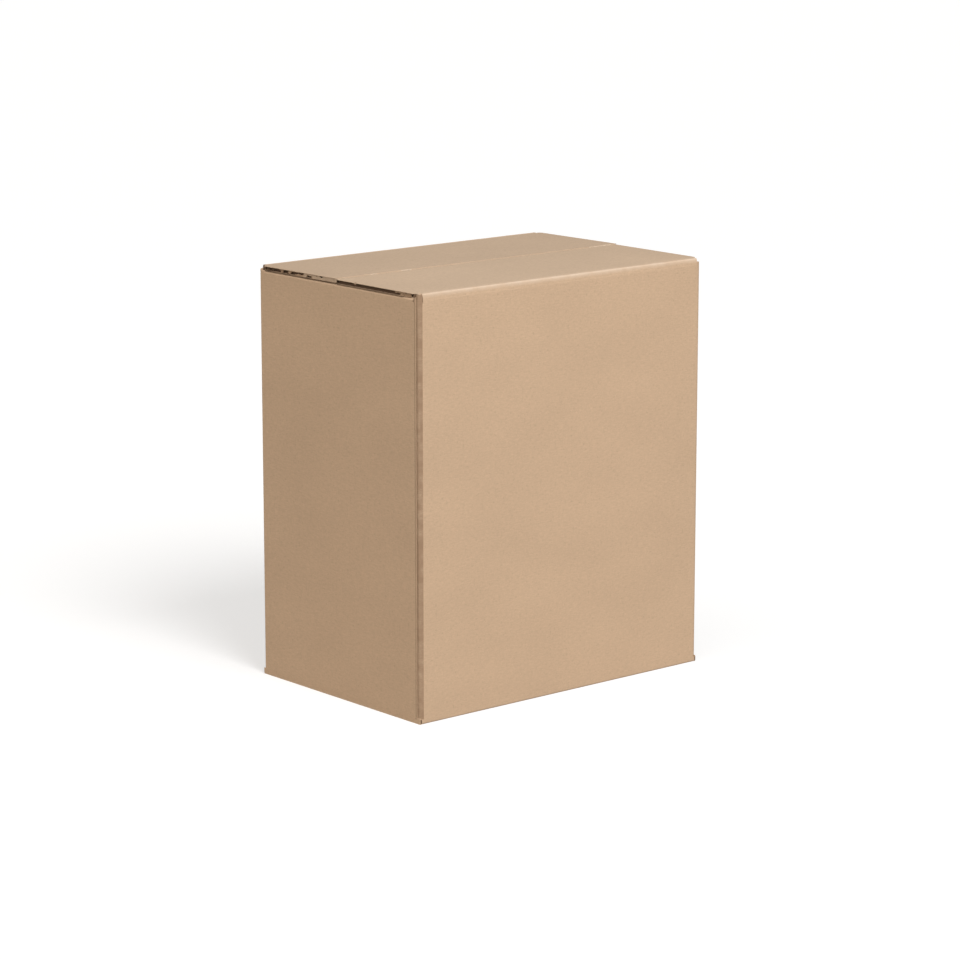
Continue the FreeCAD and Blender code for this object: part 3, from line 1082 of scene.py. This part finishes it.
@dataclass(frozen=True)
class Studio:
    """The floor, the light and the camera."""

    sizes: Measures
    azimuth: float = -40.445
    elevation: float = 12.011
    distance: float = 2.1
    lens: float = 129.0
    aim_height: float = 126.0 * MM
    aim_up: float = -7.68 * MM
    aim_right: float = -0.77 * MM
    floor_size: float = 40.0
    white: float = 1.1
    floor_bounce: Colour = (0.30, 0.28, 0.25)
    key_strength: float = 2.11
    key_angle: float = 30.0
    key_direction: Point = (-0.10, -0.74, 0.66)
    lamp_power: float = 1.75
    lamp_size: float = 0.5
    lamp_place: Point = (-0.1, -0.62, 0.86)
    ambient: Colour = (0.17, 0.17, 0.17)
    left_glow: Colour = (0.99, 0.925, 0.85)
    glow_start: float = 0.1
    glow_full: float = -0.8

    def back(self) -> Vector:
        """Give the direction from the carton to the camera."""
        turn, rise = math.radians(self.azimuth), math.radians(self.elevation)
        return Vector((math.sin(turn) * math.cos(rise), -math.cos(turn) * math.cos(rise), math.sin(rise)))

    def add_camera(self) -> None:
        """Place the camera so that the carton's middle is near the middle of the view."""
        back = self.back()
        right = Z_AXIS.cross(back).normalized()
        up = back.cross(right)
        aim = Vector((0.0, 0.0, self.aim_height)) + up * self.aim_up + right * self.aim_right
        data = bpy.data.cameras.new("camera")
        data.lens = self.lens
        data.clip_end = 100.0
        camera = bpy.data.objects.new("camera", data)
        camera.location = aim + back * self.distance
        camera.rotation_mode = "QUATERNION"
        camera.rotation_quaternion = (-back).to_track_quat("-Z", "Y")
        bpy.context.scene.collection.objects.link(camera)
        bpy.context.scene.camera = camera

    def add_floor(self) -> None:
        """Lay a plain pale floor that keeps the carton's shadow."""
        deselect()
        bpy.ops.mesh.primitive_plane_add(size=self.floor_size, location=(0.0, 0.0, 0.0))
        floor = bpy.context.object
        floor.name = "floor"
        sheet = NodeSheet(bpy.data.materials.new("floor_paper"))
        rays = sheet.add("LightPath").outputs
        seen = sheet.compute("MAXIMUM", rays["Is Camera Ray"], rays["Is Glossy Ray"])
        half = self.white / 2
        shown = sheet.add("BsdfDiffuse", {"Color": (half, half, half)})
        glow = sheet.add("Emission", {"Color": WHITE, "Strength": half})
        both = sheet.add("AddShader", {0: shown.outputs[0], 1: glow.outputs[0]})
        bounce = sheet.add("BsdfDiffuse", {"Color": self.floor_bounce})
        mixed = sheet.add("MixShader", {0: seen, 1: bounce.outputs[0], 2: both.outputs[0]})
        sheet.links.new(mixed.outputs[0], sheet.nodes["Material Output"].inputs["Surface"])
        sheet.nodes.remove(sheet.nodes["Principled BSDF"])
        floor.data.materials.append(sheet.owner)

    def add_lamp(self, name: str, kind: str, place: Point, **settings: object) -> None:
        """Add a lamp that isn't seen itself: an area lamp faces the carton's middle.

        Args:
            name: the lamp's name.
            kind: Blender's name for its type.
            place: where it stands, or for a sun the direction that it shines from.
            **settings: the lamp's own settings.
        """
        data = bpy.data.lights.new(name, kind)
        for key, value in settings.items():
            setattr(data, key, value)
        lamp = bpy.data.objects.new(name, data)
        lamp.location = place
        lamp.visible_camera = False
        lamp.rotation_mode = "QUATERNION"
        aim = Vector((0.0, 0.0, self.aim_height)) if kind == "AREA" else Vector()
        lamp.rotation_quaternion = (Vector(place) - aim).to_track_quat("Z", "Y")
        bpy.context.scene.collection.objects.link(lamp)

    def add_light(self) -> None:
        """Light the carton with a soft sun, a close lamp and a room that is brighter on the left."""
        sun = {"energy": self.key_strength, "angle": math.radians(self.key_angle)}
        self.add_lamp("key", "SUN", self.key_direction, **sun)
        disk = {"energy": self.lamp_power, "size": self.lamp_size, "shape": "DISK"}
        self.add_lamp("lamp", "AREA", self.lamp_place, **disk)
        room = NodeSheet(bpy.data.worlds.new("room"))
        bpy.context.scene.world = room.owner
        room.nodes.clear()
        across = room.add("SeparateXYZ", {0: room.add("TexCoord").outputs["Generated"]}).outputs["X"]
        ends = {"Value": across, "From Min": self.glow_start, "From Max": self.glow_full}
        share = room.add("MapRange", ends, interpolation_type="SMOOTHSTEP").outputs[0]
        light = room.add("Background", {"Color": room.mix(share, self.ambient, self.left_glow)})
        shown = room.add("Background", {"Color": WHITE})
        seen = room.add("LightPath").outputs["Is Camera Ray"]
        mixed = room.add("MixShader", {0: seen, 1: light.outputs[0], 2: shown.outputs[0]})
        room.add("OutputWorld", {"Surface": mixed.outputs[0]})

    def build(self) -> None:
        """Set up the floor, the light and the camera."""
        bpy.context.scene.view_settings.view_transform = "Standard"
        self.add_camera()
        self.add_floor()
        self.add_light()


def dress(node: str, look: Look) -> None:
    """Give a CAD node its material.

    Args:
        node: the node's name.
        look: the material.
    """
    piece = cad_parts[node]
    piece.data.materials.clear()
    piece.data.materials.append(look)
    log.info("%s wears %s", node, look.name)


def main() -> None:
    """Dress the carton, add what the plain solids lack, and set up the studio."""
    logging.basicConfig(level=logging.INFO, format="%(name)s: %(message)s")
    sizes = Measures.from_frame(fold=4.5 * MM, corner_cut=2.5 * MM, setback=3.2 * MM)
    log.info("sizes %s", sizes)
    # the outer top flaps' tones: shifted from the panel's to stand in for the cooler light on the top,
    # with the rear one darker as painted shade because it faces away from the light
    flap_tones_with_painted_shade = {Side.FRONT: (0.575, 0.430, 0.305), Side.REAR: (0.550, 0.411, 0.292)}
    section = BoardSection(sizes)
    panel = KraftLiner("kraft_panel", marks=(CartonSection(sizes),)).build()
    # the fold's marks: a painted highlight along the crease, and its raw ends in the section's dark tone
    painted_patches = (PaintedCreaseHighlight(sizes), FoldEnds(sizes))
    fold = KraftLiner("kraft_fold", grain=Grain.FLAP, marks=painted_patches).build()
    # a darker kraft for the tab fold at the glued corner: painted shade of the groove there, which also
    # hides the fold's highlight
    tab_fold_shade = KraftLiner("rubbed_fold", (0.45, 0.311, 0.205)).build()
    greyboard = KraftLiner("partition_board", (0.46, 0.35, 0.25), Grain.LOOSE).build()
    # the glued corner's raw edge: dark partly for the raw board and partly as painted shade of the groove
    torn_and_shaded = TornBoard("torn_board", (0.35, 0.231, 0.149), (0.48, 0.341, 0.231)).build()
    plain = KraftLiner("kraft_edge").build()
    crumpled = TornBoard("crumpled_medium", (0.34, 0.22, 0.14), (0.56, 0.40, 0.27)).build()
    # torn medium in the rear flaps' side gaps: its near-black tone is painted shade of the gap behind it
    tattered_and_shaded = TornBoard("tattered_medium", (0.11, 0.07, 0.045), (0.36, 0.245, 0.16)).build()
    # the lower liner's ragged edge: painted shade, much darker than kraft because it hangs in the shadow
    # under the flap
    dark = TornBoard("worn_inner_liner", (0.17, 0.115, 0.075), (0.32, 0.22, 0.145)).build()
    frayed = KraftLiner("frayed_liner", (0.585, 0.442, 0.315), Grain.LOOSE).build()
    pale_dash_look = KraftLiner("scuffed_liner", (0.69, 0.57, 0.445), Grain.LOOSE).build()
    dress("carton", panel)
    for node in ("long_divider", "cross_divider_left", "cross_divider_right"):
        dress(node, greyboard)
    pieces = [GluedCorner(sizes, torn_and_shaded).build(), *(BaseEdge(sizes, end, plain).build() for end in End)]
    reach = sizes.width / 2 - sizes.seam / 2
    inner_start = {Side.FRONT: 14.0 * MM, Side.REAR: 6.2 * MM}
    # the tab fold's ear runs nearly the full height, to lay that painted shade down the glued corner
    tab_fold = {"radius": 0.25 * MM, "inset": sizes.board, "long_run": 0.7 * MM, "end_run": 1.5 * MM}
    tab_fold |= {"foot": sizes.height - 2.6 * MM, "board": 0.2 * MM, "waver": 0.06 * MM}
    for side, tone in flap_tones_with_painted_shade.items():
        flap = KraftLiner(f"kraft_{side}_flap", tone, Grain.FLAP, marks=(section,)).build()
        dress(f"{side}_top_flap", flap)
        edge = KraftLiner(f"kraft_{side}_edge", tone, Grain.FLAP).build()
        pieces.append(FoldLiner(sizes, side, fold).build())
        pieces.append(FoldCore(sizes, side, fold).build())
        lip = SeamLip(sizes, side, frayed)
        pieces.append(lip.build(f"{side}_seam_lip", -sizes.flap_side, sizes.flap_side))
        for end in End:
            # the front-left ear wears the painted shade of the tab fold's groove
            if side is Side.FRONT and end is End.LEFT:
                pieces.append(CornerEar(sizes, side, end, tab_fold_shade, **tab_fold).build())
            else:
                pieces.append(CornerEar(sizes, side, end, fold).build())
            outer = SplayedLiner(sizes, side, edge, end)
            pieces.append(outer.build(start=5.6 * MM, finish=reach))
            # the lower liner's edge wears painted shade
            inner = SplayedLiner(sizes, side, dark, end, level=sizes.board - 0.3 * MM)
            pieces.append(inner.build(start=inner_start[side], finish=reach))
            if side is Side.REAR:
                # near the fold the crushed edge wears the painted shade of the gap
                torn_open = CrushedEdge(sizes, side, tattered_and_shaded, end, holes=(-0.3, 0.1))
                pieces.append(torn_open.build(start=6.5 * MM, finish=44.0 * MM))
                half_shut = CrushedEdge(sizes, side, crumpled, end, holes=(-0.35, 0.35), proud=0.6 * MM)
                pieces.append(half_shut.build(start=20.0 * MM, finish=58.0 * MM))
                shut = CrushedEdge(sizes, side, edge, end, holes=(-0.4, 0.7), proud=0.8 * MM)
                pieces.append(shut.build(start=38.0 * MM, finish=reach))
                continue
            crushed = CrushedEdge(sizes, side, crumpled, end, holes=(0.5, -0.4))
            pieces.append(crushed.build(start=7.3 * MM, finish=24.0 * MM))
            if end is End.LEFT:
                nick = SplayedLiner(sizes, side, crumpled, end, droop=0.9 * MM, overhang=1.0 * MM)
                pieces.append(nick.build(start=57.2 * MM, finish=59.0 * MM))
    # the pale dashes' middles and lengths along the rear seam, in millimetres
    pale_dashes = {"left_83": (-83.0, 5.0), "left_58": (-58.0, 8.0), "right_97": (97.0, 18.0)}
    for name, (middle, length) in pale_dashes.items():
        dash = SeamLip(sizes, Side.REAR, pale_dash_look, reach=0.5 * MM, paper=0.13 * MM)
        left, right = (middle - length / 2) * MM, (middle + length / 2) * MM
        pieces.append(dash.build(f"seam_scuff_{name}", left, right))
    for piece in pieces:
        log.info("%s: %d faces", piece.name, len(piece.data.polygons))
    Studio(sizes).build()


if __name__ == "__main__":
    main()
